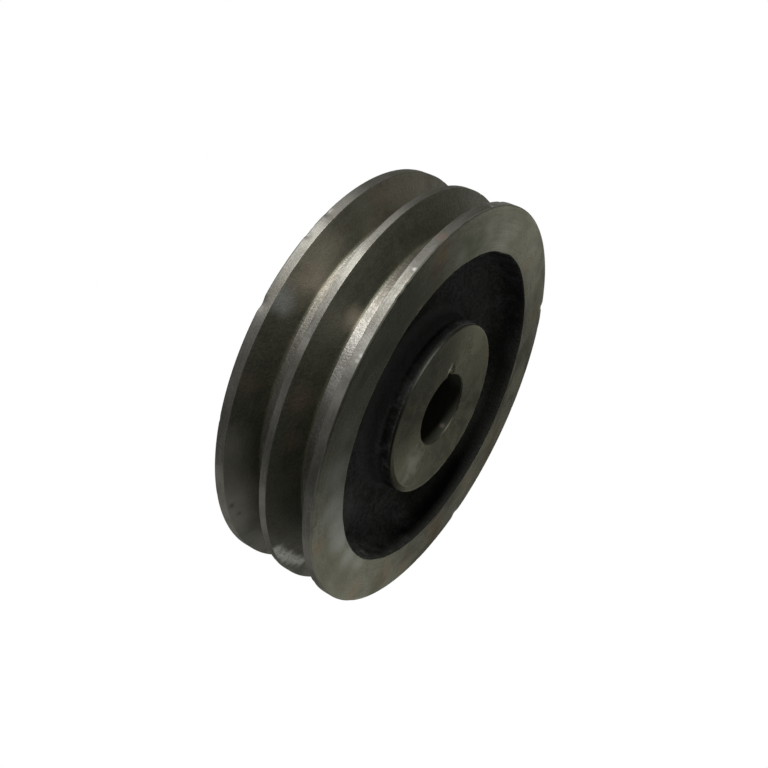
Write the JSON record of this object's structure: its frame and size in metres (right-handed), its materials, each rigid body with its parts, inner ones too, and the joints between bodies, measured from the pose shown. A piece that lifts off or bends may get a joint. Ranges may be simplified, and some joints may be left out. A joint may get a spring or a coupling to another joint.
{
  "type": "drive pulley",
  "caption": "Cast-iron V-belt drive pulley with a grooved rim, a web dished on both faces and a plain-bored hub flush with the rim; carries wedge-shaped belts on a shaft.",
  "frame": {"origin": "on the axis of the bore, in the plane of the rear face that the pulley stands on", "axes": "+Z along the bore, from the rear face to the front face that the picture shows"},
  "size_m": [0.167, 0.167, 0.0434],
  "materials": {
    "cast_iron": "turned rim, grooves and faces, stained and worn; dark rough cast skin in the dishes"
  },
  "bodies": {
    "root": {"pulley": "cast_iron"}
  },
  "joints": []
}
